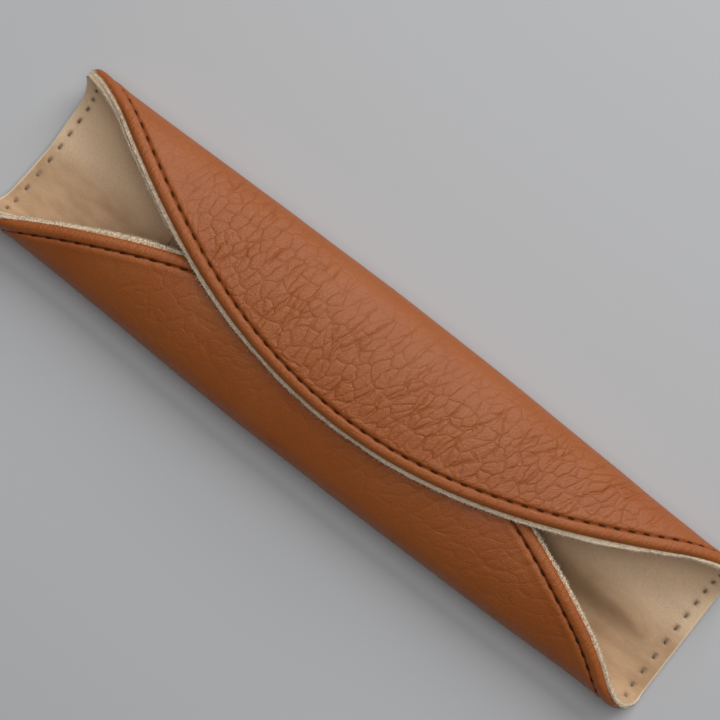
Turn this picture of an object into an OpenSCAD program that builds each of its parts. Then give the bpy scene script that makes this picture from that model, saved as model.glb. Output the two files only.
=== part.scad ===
// Pen sleeve: a lined leather sheet wrapped over itself, open at both ends.
// X runs along the pen, the sleeve rests on z = 0, and its centre stands over the origin.
// The top flap comes over from +Y and lies on the under flap, which comes from -Y.

/* [Sleeve] */
// Length along the pen
sleeve_length = 176; // [150:1:200]
// Width of the closed sleeve at its middle
sleeve_width = 43.2; // [40:0.2:52]
// Height of the closed sleeve at its middle
sleeve_height = 20.3; // [18:0.1:24]
// How far the middle of the top rises above the rounded sides
top_crown = 3.1; // [2.4:0.1:4.2]
// How far each side would draw in from the middle to the mouths without the flare
side_taper = 2.6; // [0:0.1:3]
// How far each side flares out again at the mouths
mouth_flare = 1.25; // [0:0.05:1.5]
// How much larger the radius of the rounded sides is at the mouths
mouth_opening = 0.7; // [0:0.1:0.7]
// How far the edge of the mouth at -X bows inwards between its corners
mouth_bow = 2; // [0:0.1:3]

/* [Layers] */
// Thickness of the leather
leather_t = 1.3; // [1:0.1:1.6]
// Thickness of the suede lining
lining_t = 0.9; // [0.6:0.1:1.1]
// Thickness of the second suede layer at one mouth
facing_t = 0.7; // [0.5:0.1:0.9]
// Depth of that second layer from the mouth
facing_depth = 35; // [20:1:50]
// How far the lining shows past the leather along the flaps
lining_show = 0.6; // [0:0.1:1]

/* [Flaps] */
// How far the top flap's tip passes the centre line
top_reach = 9; // [7:0.5:12]
// How far the under flap's tip passes the centre line
under_reach = 9; // [7:0.5:12]
// Exponent of the cosine that the flaps' edges follow
edge_fullness = 0.93; // [0.8:0.01:1.1]
// How far the flaps' edges lean towards one mouth
edge_lean = 1.5; // [0:0.1:3]
// Distance of the flaps' pointed ends from the mouths
tip_inset = 2; // [1.5:0.1:4]
// Depth of the rounding at the four corners, along the mouths
corner_depth = 3.5; // [1:0.1:5]
// Height of the lines on which the flaps bend open
bend_height = 8.6; // [7.6:0.1:9]
// Slit along each bend line
bend_gap = 0.4; // [0.3:0.05:0.6]
// Space between the two closed flaps
flap_gap = 0.5; // [0.4:0.05:0.8]

/* [Stitching] */
// Thread diameter
thread_d = 0.6; // [0.4:0.05:0.8]
// Length of one visible stitch
stitch_length = 2.5; // [1.8:0.1:2.8]
// Distance from one stitch to the next
stitch_pitch = 3.4; // [3.1:0.1:5]
// Distance of the stitching from the leather's edge
stitch_margin = 2.7; // [2.4:0.1:5]
// How deep the thread's centre is drawn into the surface
stitch_sink = 0.2; // [0.1:0.05:0.3]

/* [Magnets] */
// Diameter of the closure magnets
magnet_d = 8; // [5:0.5:8]
// Thickness of the closure magnets
magnet_t = 0.8; // [0.5:0.1:1]
// Clearance round a magnet in its pocket
magnet_clearance = 0.1; // [0.05:0.05:0.2]

/* [Hidden] */
TOP = 1;
UNDER = -1;
half_length = sleeve_length / 2;
side_radius = (sleeve_height - top_crown) / 2;
lined_t = leather_t + lining_t;
faced_t = lined_t + facing_t;
tip_x = half_length - tip_inset;
facing_end = facing_depth - half_length;
// How late the sides flare and the side radius grows: a high power keeps it near the mouths
flare_power = 6;
opening_power = 12;
// Length over which the bow of the mouth at -X fades away
bow_fade = 5;
// How far below the leather's face the stitches lie that are underneath
flush_depth = 0.05;
// Rows of points: along the faced part and the rest, round each side and across each flap
faced_count = 9;
open_count = 20;
side_count = 6;
flap_count = 15;
line_count = 120;
leather_colour = [0.66, 0.38, 0.24];
suede_colour = [0.74, 0.63, 0.49];
thread_colour = [0.2, 0.11, 0.07];
magnet_colour = [0.75, 0.75, 0.77];

// The section across the sleeve: a flat base, a round side and a flatter round top, tangent to each other.
// Each row is [half width of the flat, side radius, top radius, height of the top's centre, angle at the top].
function mouthward(x) = min(1, abs(x) / half_length);
function half_width(x) =
    let (m = mouthward(x))
    sleeve_width / 2 - side_taper * pow(m, 2) + mouth_flare * pow(m, flare_power);

function top_section(x) =
    let (w = half_width(x), r = side_radius + mouth_opening * pow(mouthward(x), opening_power))
    let (flat = w - r, rise = sleeve_height - r)
    let (big = (rise * rise + flat * flat - r * r) / (2 * (rise - r)))
    let (centre = sleeve_height - big)
    [flat, r, big, centre, atan2(flat, r - centre)];

// The under flap's top is concentric with the top flap's, one lined thickness and the gap lower.
function under_section(x) =
    let (above = top_section(x), w = half_width(x), centre = above[3])
    let (big = above[2] - lined_t - flap_gap)
    let (b = 2 * (big - w - centre), c = w * w + centre * centre - big * big)
    let (r = (sqrt(b * b - 4 * c) - b) / 2)
    let (flat = w - r)
    [flat, r, big, centre, atan2(flat, r - centre)];

function section(x, side) = side == TOP ? top_section(x) : under_section(x);

// How far a point of the base shifts inwards at the mouth at -X: most on the centre line.
function bow(x, side, s) =
    let (fade = max(0, 1 - (x + half_length) / bow_fade), share = min(1, s / base_girth(x, side)))
    mouth_bow * fade * (1 - share * share);

// A point at girth s from the centre of the base, deep below the outer face.
function skin(x, side, s, deep) =
    let (k = section(x, side), flat = k[0], r = k[1], big = k[2], centre = k[3])
    let (turn = 180 - k[4], side_run = r * turn * PI / 180, at = x + bow(x, side, s))
    s <= flat ? [at, side * s, deep]
    : s <= flat + side_run
        ? let (a = (s - flat) / r * 180 / PI)
            [at, side * (flat + (r - deep) * sin(a)), r - (r - deep) * cos(a)]
        : let (a = k[4] - (s - flat - side_run) / big * 180 / PI)
            [at, side * (big - deep) * sin(a), centre + (big - deep) * cos(a)];

function bend_girth(x, side) =
    let (k = section(x, side))
    k[0] + k[1] * acos(1 - bend_height / k[1]) * PI / 180;

function centre_girth(x, side) =
    let (k = section(x, side))
    k[0] + (k[1] * (180 - k[4]) + k[2] * k[4]) * PI / 180;

// Width of a flap from its bend line to its edge.
function reach(side) = side == TOP ? top_reach : under_reach;
function flap_width(x, side) =
    let (widest = centre_girth(0, side) + reach(side) - bend_girth(0, side))
    let (leant = x + edge_lean * (1 - pow(mouthward(x), 2)))
    widest * pow(max(0, cos(90 * min(1, abs(leant) / half_length))), edge_fullness);
function edge_girth(x, side) = bend_girth(x, side) + flap_width(x, side);

// The base's own edge: the bend line, rounded off at the mouths' corners.
function corner_cut(x) =
    let (t = max(0, (abs(x) - tip_x) / tip_inset))
    corner_depth * (1 - sqrt(1 - min(1, t * t)));
function base_girth(x, side) = bend_girth(x, side) - bend_gap / 2 - corner_cut(x);

// Stations along the sleeve, closer together towards the mouths. One lies where the facing ends,
// so that all layers share their facets.
function faced_stations(end) =
    [for (i = [0:faced_count]) facing_end - (facing_end + end) * cos(90 * i / faced_count)];
function open_stations(end) =
    [for (i = [1:open_count]) facing_end + (end - facing_end) * sin(90 * i / open_count)];
function all_stations(end) = concat(faced_stations(end), open_stations(end));

// One closed sheet between two grids of points, in triangles.
module sheet(outer, inner) {
    rows = len(outer);
    cols = len(outer[0]);
    function at(i, j, k) = (k * rows + i) * cols + j;
    function quad(a, b, c, d) = [[a, b, c], [a, c, d]];
    points = concat([for (row = outer) each row], [for (row = inner) each row]);
    faces = concat(
        [for (i = [0:rows - 2], j = [0:cols - 2])
            each quad(at(i, j, 0), at(i, j + 1, 0), at(i + 1, j + 1, 0), at(i + 1, j, 0))],
        [for (i = [0:rows - 2], j = [0:cols - 2])
            each quad(at(i, j, 1), at(i + 1, j, 1), at(i + 1, j + 1, 1), at(i, j + 1, 1))],
        [for (i = [0:rows - 2]) each quad(at(i, 0, 0), at(i + 1, 0, 0), at(i + 1, 0, 1), at(i, 0, 1))],
        [for (i = [0:rows - 2]) let (j = cols - 1)
            each quad(at(i + 1, j, 0), at(i, j, 0), at(i, j, 1), at(i + 1, j, 1))],
        [for (j = [0:cols - 2]) each quad(at(0, j + 1, 0), at(0, j, 0), at(0, j, 1), at(0, j + 1, 1))],
        [for (j = [0:cols - 2]) let (i = rows - 1)
            each quad(at(i, j, 0), at(i, j + 1, 0), at(i, j + 1, 1), at(i, j, 1))]
    );
    polyhedron(points = points, faces = faces, convexity = 6);
}

// One row of points across the base, from the under flap's bend line to the top flap's.
function base_side(x, side, deep) =
    let (flat = section(x, side)[0], edge = base_girth(x, side))
    [for (j = [0:side_count]) skin(x, side, flat + (edge - flat) * j / side_count, deep)];
function base_row(x, deep) =
    let (left = base_side(x, UNDER, deep))
    concat([for (j = [side_count:-1:0]) left[j]], [skin(x, TOP, 0, deep)], base_side(x, TOP, deep));

module base_layer(xs, deep, thick) {
    sheet([for (x = xs) base_row(x, deep)], [for (x = xs) base_row(x, deep + thick)]);
}

// One row of points across a flap, from its bend line to the leather's edge and past it.
function flap_row(x, side, deep, past) =
    let (from = bend_girth(x, side) + bend_gap / 2, to = edge_girth(x, side))
    let (girths = [for (j = [0:flap_count]) from + (to - from) * j / flap_count])
    let (row = [for (s = past > 0 ? concat(girths, [to + past]) : girths) skin(x, side, s, deep)])
    side == TOP ? row : [for (j = [len(row) - 1:-1:0]) row[j]];

module flap_layer(side, xs, deep, thick, past) {
    sheet(
        [for (x = xs) flap_row(x, side, deep, past)],
        [for (x = xs) flap_row(x, side, deep + thick, past)]
    );
}

// Where the closure magnets lie: on the centre line, half in the leather and half in the lining.
function magnet_height(side) =
    let (k = section(0, side))
    k[3] + k[2] - leather_t;

module magnet_disc(side, clearance) {
    translate([0, 0, magnet_height(side)])
        cylinder(h = magnet_t + 2 * clearance, d = magnet_d + 2 * clearance, center = true, $fn = 48);
}

module pocketed(side) {
    difference() {
        children();
        magnet_disc(side, magnet_clearance);
    }
}

// Stitch lines, as [x, girth] on the flat pattern, with the length run so far as a third number.
function flap_line_at(x, side) =
    let (e = 0.01, slope = (edge_girth(x + e, side) - edge_girth(x - e, side)) / (2 * e))
    let (n = sqrt(1 + slope * slope))
    [x + stitch_margin * slope / n, edge_girth(x, side) - stitch_margin / n];
function flap_line(side) =
    [for (i = [0:line_count]) let (x = tip_x * sin(180 * i / line_count - 90)) flap_line_at(x, side)];
function runs(line) =
    [for (i = 0, run = 0; i < len(line);
        run = run + (i + 1 < len(line) ? norm(line[i + 1] - line[i]) : 0), i = i + 1) run];

// The point of a line, [x, girth], at a length along it.
function along(line, run_table, run) =
    [lookup(run, [for (i = [0:len(line) - 1]) [run_table[i], line[i][0]]]),
        lookup(run, [for (i = [0:len(line) - 1]) [run_table[i], line[i][1]]])];

module rod(a, b) {
    v = b - a;
    translate(a)
        rotate([0, acos(v[2] / norm(v)), atan2(v[1], v[0])])
            cylinder(h = norm(v), d = thread_d, $fn = 24);
}

// One stitch between two pattern points, sunk in the outer face and in the inner one.
function inner_face(x) = x < facing_end ? faced_t : lined_t;
module stitch(a, b, side, outer_sink = stitch_sink) {
    for (deep = [outer_sink, inner_face(max(a[0], b[0])) - stitch_sink])
        rod(skin(a[0], side, a[1], deep), skin(b[0], side, b[1], deep));
}

module flap_stitches(side) {
    line = flap_line(side);
    table = runs(line);
    total = table[len(table) - 1];
    count = floor((total - stitch_length) / stitch_pitch);
    lead = (total - count * stitch_pitch) / 2;
    for (i = [0:count]) {
        a = along(line, table, lead + i * stitch_pitch - stitch_length / 2);
        b = along(line, table, lead + i * stitch_pitch + stitch_length / 2);
        low = min(a[1] - bend_girth(a[0], side), b[1] - bend_girth(b[0], side));
        clear = bend_gap / 2 + thread_d;
        spans_step = (a[0] - facing_end) * (b[0] - facing_end) < 0;
        if (low > clear && max(abs(a[0]), abs(b[0])) < tip_x && !spans_step) stitch(a, b, side);
    }
}

// Stitches across a mouth, spread evenly from the centre of the base to each corner. Underneath
// they lie flush, so that the leather alone touches what the sleeve rests on.
module mouth_stitches(end) {
    x = end * (half_length - stitch_margin);
    for (side = [TOP, UNDER]) {
        run = base_girth(x, side) - thread_d;
        count = floor(run / stitch_pitch);
        for (i = [0:count - 1]) {
            from = (i + 0.5) * run / count - stitch_length / 2;
            stitch([x, from], [x, from + stitch_length], side, thread_d / 2 + flush_depth);
        }
    }
}

module base_leather() {
    color(leather_colour) base_layer(all_stations(half_length), 0, leather_t);
}

module base_lining() {
    color(suede_colour) base_layer(all_stations(half_length), leather_t, lining_t);
}

module base_facing() {
    color(suede_colour) base_layer(faced_stations(half_length), lined_t, facing_t);
}

module top_flap_leather() {
    color(leather_colour) pocketed(TOP) flap_layer(TOP, all_stations(tip_x), 0, leather_t, 0);
}

module top_flap_lining() {
    color(suede_colour) pocketed(TOP)
        flap_layer(TOP, all_stations(tip_x), leather_t, lining_t, lining_show);
}

module top_flap_facing() {
    color(suede_colour)
        flap_layer(TOP, faced_stations(tip_x), lined_t, facing_t, lining_show);
}

module under_flap_leather() {
    color(leather_colour) pocketed(UNDER) flap_layer(UNDER, all_stations(tip_x), 0, leather_t, 0);
}

module under_flap_lining() {
    color(suede_colour) pocketed(UNDER)
        flap_layer(UNDER, all_stations(tip_x), leather_t, lining_t, lining_show);
}

module under_flap_facing() {
    color(suede_colour)
        flap_layer(UNDER, faced_stations(tip_x), lined_t, facing_t, lining_show);
}

module top_flap_thread() {
    color(thread_colour) flap_stitches(TOP);
}

module under_flap_thread() {
    color(thread_colour) flap_stitches(UNDER);
}

module left_mouth_thread() {
    color(thread_colour) mouth_stitches(-1);
}

module right_mouth_thread() {
    color(thread_colour) mouth_stitches(1);
}

module top_flap_magnet() {
    color(magnet_colour) magnet_disc(TOP, 0);
}

module under_flap_magnet() {
    color(magnet_colour) magnet_disc(UNDER, 0);
}

base_leather();
base_lining();
base_facing();
top_flap_leather();
top_flap_lining();
top_flap_facing();
under_flap_leather();
under_flap_lining();
under_flap_facing();
top_flap_thread();
under_flap_thread();
left_mouth_thread();
right_mouth_thread();
top_flap_magnet();
under_flap_magnet();
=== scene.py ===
import math

import bpy
import numpy as np
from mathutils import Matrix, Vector


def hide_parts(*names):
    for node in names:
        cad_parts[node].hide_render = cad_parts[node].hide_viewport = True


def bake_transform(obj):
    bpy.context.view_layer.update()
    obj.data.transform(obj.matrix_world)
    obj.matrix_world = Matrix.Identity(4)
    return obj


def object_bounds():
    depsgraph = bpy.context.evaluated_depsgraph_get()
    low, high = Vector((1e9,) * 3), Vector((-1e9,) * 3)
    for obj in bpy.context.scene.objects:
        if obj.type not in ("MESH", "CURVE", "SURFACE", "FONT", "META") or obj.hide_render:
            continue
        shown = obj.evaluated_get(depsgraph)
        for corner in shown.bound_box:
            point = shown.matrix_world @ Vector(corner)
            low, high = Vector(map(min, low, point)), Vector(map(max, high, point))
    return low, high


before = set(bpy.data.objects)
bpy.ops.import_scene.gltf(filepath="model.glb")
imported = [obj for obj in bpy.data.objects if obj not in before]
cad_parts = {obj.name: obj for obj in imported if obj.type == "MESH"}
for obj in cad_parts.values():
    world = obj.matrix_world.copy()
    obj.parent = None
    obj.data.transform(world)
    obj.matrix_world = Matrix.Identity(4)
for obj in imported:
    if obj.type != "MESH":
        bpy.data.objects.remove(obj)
cad_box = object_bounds()

# One millimetre in metres, the two halves, and the two mouths at -X and +X
MM = 0.001
TOP, UNDER = 1, -1
LEFT, RIGHT = -1, 1
SIDE_NAMES = {TOP: "top", UNDER: "under"}
FLAPS = {TOP: "top_flap", UNDER: "under_flap"}

# Sleeve, as the CAD model has it
HALF_LENGTH = (cad_box[1].x - cad_box[0].x) / MM / 2
HALF_WIDTH = (cad_box[1].y - cad_box[0].y) / MM / 2
HEIGHT = 20.3
TOP_CROWN = 3.1
SIDE_RADIUS = (HEIGHT - TOP_CROWN) / 2
SIDE_TAPER = 2.6
MOUTH_FLARE = 1.25
FLARE_POWER = 6
MOUTH_OPENING = 0.7
OPENING_POWER = 12
MOUTH_BOW = 2
BOW_FADE = 5
LEATHER_T = 1.3
LINING_T = 0.9
FACING_T = 0.7
LINED_T = LEATHER_T + LINING_T
FACED_T = LINED_T + FACING_T
FACING_DEPTH = 35
FACING_END = FACING_DEPTH - HALF_LENGTH
LINING_SHOW = 0.6
FLAP_REACH = 9
EDGE_FULLNESS = 0.93
EDGE_LEAN = 1.5
TIP_INSET = 2
BEND_HEIGHT = 8.6
FLAP_GAP = 0.5
THREAD_D = 0.6
STITCH_LENGTH = 2.5
STITCH_PITCH = 3.4
STITCH_MARGIN = 2.7

# How much more of the lining, and then of the facing, shows past the leather on each half
LINING_MORE = {TOP: 0.3, UNDER: -0.05}
FACING_MORE = {TOP: 0.45, UNDER: 0.1}

# Rounding of the sheet's corners: length along the sleeve and depth across it
CORNERS = {
    (TOP, LEFT): (2.5, 2.5),
    (TOP, RIGHT): (3.5, 3.0),
    (UNDER, LEFT): (9.0, 6.0),
    (UNDER, RIGHT): (22.0, 9.0),
}


# Helpers

NOISE_LATTICE = 256


def smoothstep(low, high, value):
    t = np.clip((value - low) / (high - low), 0, 1)
    return t * t * (3 - 2 * t)


def at_least(least, share):
    """A share from 0 to 1, turned into one from least to 1."""
    return least + (1 - least) * share


def bell(value, half):
    """1 at zero, falling off to both sides."""
    return np.exp(-((value / half) ** 2))


def soft_noise(x, s, side, size, seed):
    """Smooth noise on the flat pattern, from -1 to 1, continuous across the base."""
    lattice = np.random.default_rng(seed).uniform(-1, 1, (NOISE_LATTICE, NOISE_LATTICE))
    along, across = x / size, side * s / size
    i, j = np.floor(along).astype(int), np.floor(across).astype(int)
    u, v = (f * f * (3 - 2 * f) for f in (along - i, across - j))
    i, next_i = i % NOISE_LATTICE, (i + 1) % NOISE_LATTICE
    j, next_j = j % NOISE_LATTICE, (j + 1) % NOISE_LATTICE
    near = lattice[i, j] * (1 - u) + lattice[next_i, j] * u
    far = lattice[i, next_j] * (1 - u) + lattice[next_i, next_j] * u
    return near * (1 - v) + far * v


def repeated(xs, count):
    """One row of count equal values for each x."""
    return np.repeat(xs[:, None], count, 1)


# The section across the sleeve

def mouthward(x):
    return np.minimum(1.0, np.abs(x) / HALF_LENGTH)


def section(x, side):
    """Half width of the flat base, side radius, top radius, height of the top's centre, and the
    angle that the top takes up on each side of its middle."""
    near = mouthward(x)
    wide = HALF_WIDTH - SIDE_TAPER * near**2 + MOUTH_FLARE * near**FLARE_POWER
    round_r = SIDE_RADIUS + MOUTH_OPENING * near**OPENING_POWER
    flat = wide - round_r
    rise = HEIGHT - round_r
    big = (rise**2 + flat**2 - round_r**2) / (2 * (rise - round_r))
    centre = HEIGHT - big
    if side == UNDER:
        # The under flap's top has the same centre and lies lower. The side radius that meets it
        # is the root of round_r ** 2 + b * round_r + c
        big = big - LINED_T - FLAP_GAP
        b = 2 * (big - wide - centre)
        c = wide**2 + centre**2 - big**2
        round_r = (np.sqrt(b * b - 4 * c) - b) / 2
        flat = wide - round_r
    return flat, round_r, big, centre, np.arctan2(flat, round_r - centre)


def bow(x, side, s):
    """How far the base shifts inwards at the mouth at -X: most on the centre line."""
    fade = np.maximum(0, 1 - (x + HALF_LENGTH) / BOW_FADE)
    share = np.minimum(1, s / (bend_girth(x, side) - CORNERS[side, LEFT][1]))
    return MOUTH_BOW * fade * (1 - share**2)


def skin(x, side, s, deep):
    """Points at girth s and at a depth below the outer face."""
    x, s, deep = np.broadcast_arrays(np.asarray(x, float), s, deep)
    flat, round_r, big, centre, top = section(x, side)
    a_side = (s - flat) / round_r
    a_top = top - (s - flat - round_r * (math.pi - top)) / big
    on_base = s <= flat
    on_side = a_side <= math.pi - top
    y_side = flat + (round_r - deep) * np.sin(a_side)
    z_side = round_r - (round_r - deep) * np.cos(a_side)
    y_top = (big - deep) * np.sin(a_top)
    z_top = centre + (big - deep) * np.cos(a_top)
    y = np.where(on_base, s, np.where(on_side, y_side, y_top))
    z = np.where(on_base, deep, np.where(on_side, z_side, z_top))
    return np.stack([x + bow(x, side, s), side * y, z], -1)


def bend_girth(x, side):
    """Girth of the line on which the flap bends in the CAD model."""
    flat, round_r = section(x, side)[:2]
    return flat + round_r * np.arccos(1 - BEND_HEIGHT / round_r)


def centre_girth(x, side):
    """Girth of the middle of the top."""
    flat, round_r, big, _, top = section(x, side)
    return flat + round_r * (math.pi - top) + big * top


def edge_girth(x, side):
    """Girth of the sheet's cut edge: the flap's curve, rounded off at the corners."""
    widest = centre_girth(0.0, side) + FLAP_REACH - bend_girth(0.0, side)
    leant = x + EDGE_LEAN * (1 - mouthward(x) ** 2)
    curve = np.cos(math.pi / 2 * np.minimum(1, np.abs(leant) / HALF_LENGTH))
    ends = zip(CORNERS[side, LEFT], CORNERS[side, RIGHT])
    length, depth = (np.where(x < 0, left, right) for left, right in ends)
    into_corner = np.clip((np.abs(x) - HALF_LENGTH + length) / length, 0, 1)
    rounding = depth * (1 - np.sqrt(1 - into_corner**2))
    return bend_girth(x, side) + widest * np.maximum(0, curve) ** EDGE_FULLNESS - rounding


class Outline:
    """One half's cut edge on the flat pattern, from mouth to mouth."""

    SAMPLES = 1400
    CHUNK = 4000

    def __init__(self, side):
        turn = np.linspace(-math.pi / 2, math.pi / 2, self.SAMPLES)
        self.x = HALF_LENGTH * np.sin(turn)
        self.s = edge_girth(self.x, side)
        step = np.hypot(np.diff(self.x), np.diff(self.s))
        self.run = np.concatenate([[0], np.cumsum(step)])

    def along(self, x):
        """Length of the edge up to x."""
        return np.interp(x, self.x, self.run)

    def distance(self, x, s):
        """Distance of pattern points from the cut edge, the mouths' edges included."""
        shape = x.shape
        x, s = x.ravel(), s.ravel()
        found = np.empty(x.shape)
        for first in range(0, len(x), self.CHUNK):
            px = x[first:first + self.CHUNK]
            ps = s[first:first + self.CHUNK]
            gap = (px[:, None] - self.x) ** 2 + (ps[:, None] - self.s) ** 2
            near = np.clip(gap.argmin(1), 1, len(self.x) - 2)
            best = np.full(px.shape, np.inf)
            for a, b in ((near - 1, near), (near, near + 1)):
                dx, ds = self.x[b] - self.x[a], self.s[b] - self.s[a]
                t = ((px - self.x[a]) * dx + (ps - self.s[a]) * ds) / (dx * dx + ds * ds)
                t = np.clip(t, 0, 1)
                best = np.minimum(best, np.hypot(px - self.x[a] - t * dx, ps - self.s[a] - t * ds))
            found[first:first + self.CHUNK] = best
        return np.minimum(found, np.maximum(0, HALF_LENGTH - np.abs(x))).reshape(shape)


OUTLINES = {side: Outline(side) for side in (TOP, UNDER)}

# Columns of points: how far from a mouth they get denser, over what length, and by how much
DENSE_FROM = 8
DENSE_RAMP = 4
DENSE_MORE = 0.5


def stations(count):
    """Places along the sleeve, even along the top flap's edge and denser near the mouths. Both
    halves use them, so that they meet point by point."""
    edge = OUTLINES[TOP]
    near = np.clip((np.abs(edge.x) - HALF_LENGTH + DENSE_FROM) / DENSE_RAMP, 0, 1)
    weight = np.concatenate([[0], np.cumsum(np.diff(edge.run) * (1 + DENSE_MORE * near[1:]))])
    found = np.interp(np.linspace(0, weight[-1], count), weight, edge.x)
    found[0], found[-1] = -HALF_LENGTH, HALF_LENGTH
    return found


# Stitches, as places and directions on the flat pattern

FLAP_LINE_SAMPLES = 801

# How far from the mouths the flaps' stitches end
FLAP_STITCHES_END = 7.5

# How far the stitch that turns a corner is moved out, along the sleeve and across it
CORNER_SHIFT = (0.25, 0.2)

# How far round a stitch its dent and its creases are looked for
DENT_REACH = 4
PUCKER_REACH = 5

# Creases next to the flaps' stitches: their usual length, and their half width
PUCKER_LENGTH = 1.5
PUCKER_HALF_WIDTH = 0.26


def flap_line(side):
    """The stitch line along a flap: the edge moved in by the margin."""
    tip = HALF_LENGTH - TIP_INSET
    x = tip * np.sin(np.linspace(-math.pi / 2, math.pi / 2, FLAP_LINE_SAMPLES))
    edge = edge_girth(x, side)
    slope = np.gradient(edge, x)
    steep = np.sqrt(1 + slope**2)
    return x + STITCH_MARGIN * slope / steep, edge - STITCH_MARGIN / steep


def flap_stitches(side):
    x, s = flap_line(side)
    run = np.concatenate([[0], np.cumsum(np.hypot(np.diff(x), np.diff(s)))])
    count = math.floor((run[-1] - STITCH_LENGTH) / STITCH_PITCH)
    lead = (run[-1] - count * STITCH_PITCH) / 2
    rows = []
    for i in range(count + 1):
        at = lead + i * STITCH_PITCH
        ends = [(np.interp(r, run, x), np.interp(r, run, s))
                for r in (at - STITCH_LENGTH / 2, at + STITCH_LENGTH / 2)]
        centre = np.mean(ends, 0)
        if abs(centre[0]) < HALF_LENGTH - FLAP_STITCHES_END:
            way = np.subtract(ends[1], ends[0])
            rows.append((*centre, *(way / np.hypot(*way))))
    return rows


def mouth_stitches(side, end):
    """Stitches from the centre of the base to a corner, and one that turns the corner."""
    x = end * (HALF_LENGTH - STITCH_MARGIN)
    run = float(min(bend_girth(x, side) - THREAD_D, edge_girth(x, side) - STITCH_MARGIN))
    count = math.floor(run / STITCH_PITCH)
    rows = [(x, (i + 0.5) * run / count, 0.0, 1.0) for i in range(count)]
    last = np.array(rows[-1][:2])
    nearest = min(flap_stitches(side), key=lambda row: abs(row[0] - x))
    way = np.subtract(nearest[:2], last)
    turn = last + way / 2 + np.array([end * CORNER_SHIFT[0], CORNER_SHIFT[1]])
    rows.append((*turn, *(way / np.hypot(*way))))
    return rows


STITCHES = {
    side: {
        "flap": flap_stitches(side),
        "left_mouth": mouth_stitches(side, LEFT),
        "right_mouth": mouth_stitches(side, RIGHT),
    }
    for side in (TOP, UNDER)
}


def stitch_dents(x, s, side, along, across):
    """How strongly each point is pressed in by the stitches, from 0 to 1."""
    pressed = np.zeros(x.shape)
    for row in STITCHES[side].values():
        for cx, cs, dx, ds in row:
            near = (np.abs(x - cx) < DENT_REACH) & (np.abs(s - cs) < DENT_REACH)
            u = (x[near] - cx) * dx + (s[near] - cs) * ds
            v = (s[near] - cs) * dx - (x[near] - cx) * ds
            dent = np.exp(-(np.abs(u) / along) ** 4 - (v / across) ** 2)
            pressed[near] = np.maximum(pressed[near], dent)
    return pressed


def stitch_puckers(x, s, side):
    """Short creases that run from the stitches' holes away from the edge, from 0 to 1."""
    pressed = np.zeros(x.shape)
    for number, (cx, cs, dx, ds) in enumerate(STITCHES[side]["flap"]):
        near = (np.abs(x - cx) < PUCKER_REACH) & (np.abs(s - cs) < PUCKER_REACH)
        u = (x[near] - cx) * dx + (s[near] - cs) * ds
        v = (x[near] - cx) * ds - (s[near] - cs) * dx
        lean = 0.5 * math.sin(number * 1.7)
        long = PUCKER_LENGTH + 0.7 * math.sin(number * 2.9)
        reach = smoothstep(-0.2, 0.3, v) * smoothstep(long, 0.4, v)
        for hole in (-STITCH_LENGTH / 2, STITCH_LENGTH / 2):
            crease = reach * bell(u - hole - lean * v, PUCKER_HALF_WIDTH)
            pressed[near] = np.maximum(pressed[near], crease)
    return pressed


# Meshes

# The most by which rows are spread apart where the edge runs at a slant
STEEPEST = 1.7

# A row this close to the middle of the base keeps the shading even up to where the halves meet
SEAM_ROW = 0.02


def add_mesh(name, points, faces):
    """A mesh object from points in millimetres, with its faces turned outwards and shaded smooth,
    apart from its caps."""
    quads = np.array([face for face in faces if len(face) == 4])
    a, b, c, d = (points[quads[:, k]] for k in range(4))
    volume = np.sum(a * (np.cross(b, c) + np.cross(c, d)))
    if volume < 0:
        faces = [tuple(reversed(face)) for face in faces]
    mesh = bpy.data.meshes.new(name)
    mesh.from_pydata((points * MM).tolist(), [], faces)
    smooth = [len(face) == 4 for face in faces]
    mesh.polygons.foreach_set("use_smooth", smooth)
    made = bpy.data.objects.new(name, mesh)
    bpy.context.scene.collection.objects.link(made)
    return made


def loop_faces(columns, count):
    """Faces of a closed band: each column is a loop of points, and the end loops are capped."""
    faces = []
    for i in range(columns - 1):
        for j in range(count):
            k = (j + 1) % count
            faces.append((i * count + j, (i + 1) * count + j, (i + 1) * count + k, i * count + k))
    faces.append(tuple(range(count)))
    faces.append(tuple((columns - 1) * count + j for j in reversed(range(count))))
    return faces


def give(made, name, values):
    """Stores a number for each vertex from a flat array, or a vector from one with more axes."""
    kind, field = ("FLOAT", "value") if values.ndim == 1 else ("FLOAT_VECTOR", "vector")
    attribute = made.data.attributes.new(name, kind, "POINT")
    attribute.data.foreach_set(field, values.astype(np.float32).ravel())


def spread(*stretches):
    """Distances from the cut edge, falling: rows of (from, to, count)."""
    return np.concatenate([np.linspace(a, b, n, endpoint=False) for a, b, n in stretches] + [[0.0]])


def row_spread(xs, edge):
    """How much further apart the rows along the edge lie, because it runs at a slant."""
    return np.minimum(np.sqrt(1 + np.gradient(edge, xs) ** 2), STEEPEST)


# Leather

LEATHER_COLUMNS = 540
LEATHER_MAIN_ROWS = 116
LEATHER_BACK_ROWS = 12
BASE_ROWS = 12
GROOVE = STITCH_MARGIN
EDGE_ROWS = spread((5.6, GROOVE + 0.7, 6), (GROOVE + 0.7, GROOVE - 0.7, 13), (GROOVE - 0.7, 0.9, 5),
                   (0.9, 0.3, 4), (0.3, 0.0, 4))

# The lip: its thickness at the cut edge, and how far in its rounding starts
RIM = 0.15
LIP_RADIUS = 1.15

# Rolled band, stitch groove and shoulder: depth, distance from the cut edge and half width
EDGE_RINGS = [(-0.13, 1.5, 0.65), (0.3, GROOVE, 0.26), (-0.13, GROOVE + 1.1, 0.75)]

# Slow unevenness of the whole wall: depth, size and seed, and the girths between which it sets in
SWELLS = [(0.12, 26, 3), (0.04, 9, 8)]
SWELL_FROM, SWELL_TO = 14, 24

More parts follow.
